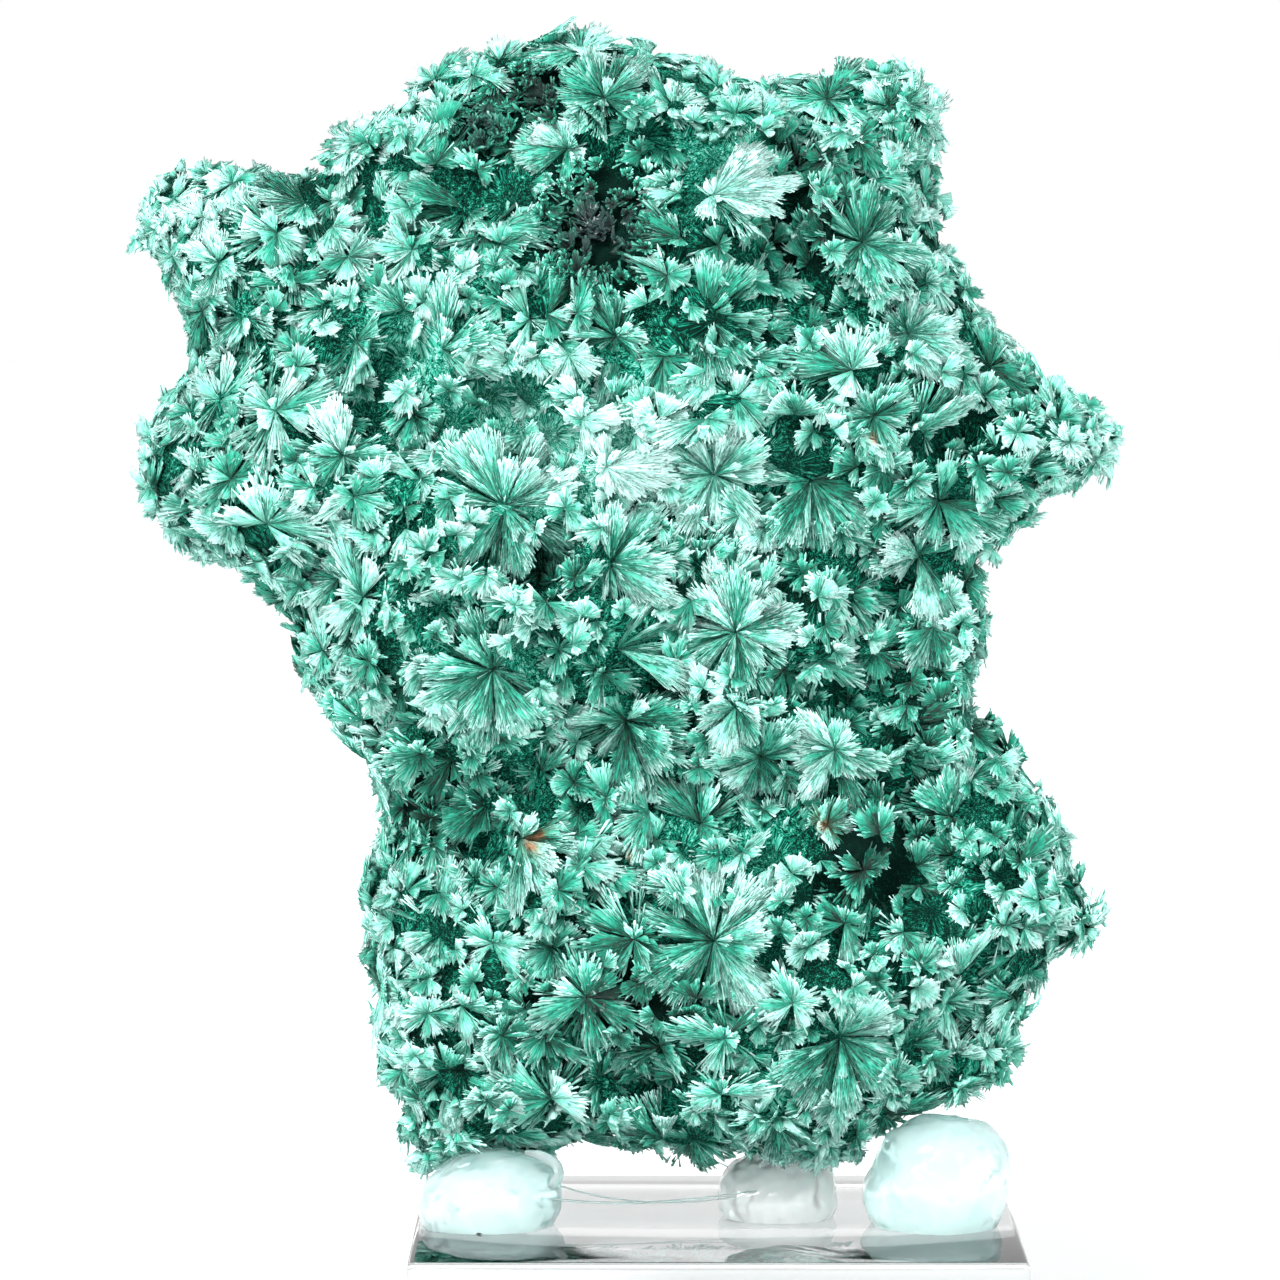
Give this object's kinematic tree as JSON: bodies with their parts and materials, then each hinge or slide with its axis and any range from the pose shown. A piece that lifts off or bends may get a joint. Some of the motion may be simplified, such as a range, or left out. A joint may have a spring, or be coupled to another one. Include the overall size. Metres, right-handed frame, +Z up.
{
  "type": "fibrous malachite specimen",
  "caption": "Upright lumpy mass of fibrous malachite, covered in radiating sprays, standing on a small clear block in blobs of clear glue.",
  "frame": {"origin": "middle of the whole specimen's footprint, at the underside of the block", "axes": "+Z up, +X to the right as seen from the front, -Y towards the viewer"},
  "size_m": [0.0806, 0.0468, 0.106],
  "materials": {
    "malachite": "fibrous malachite: silky, bright emerald fibres with pale mint tips, near-black in the gaps",
    "clear_acrylic": "clear cast acrylic with polished faces",
    "clear_glue": "clear to milky hot-melt glue, smooth and glossy"
  },
  "bodies": {
    "root": {"malachite": "malachite", "acrylic_block": "clear_acrylic", "glue_left": "clear_glue", "glue_middle": "clear_glue", "glue_right": "clear_glue"}
  },
  "joints": []
}
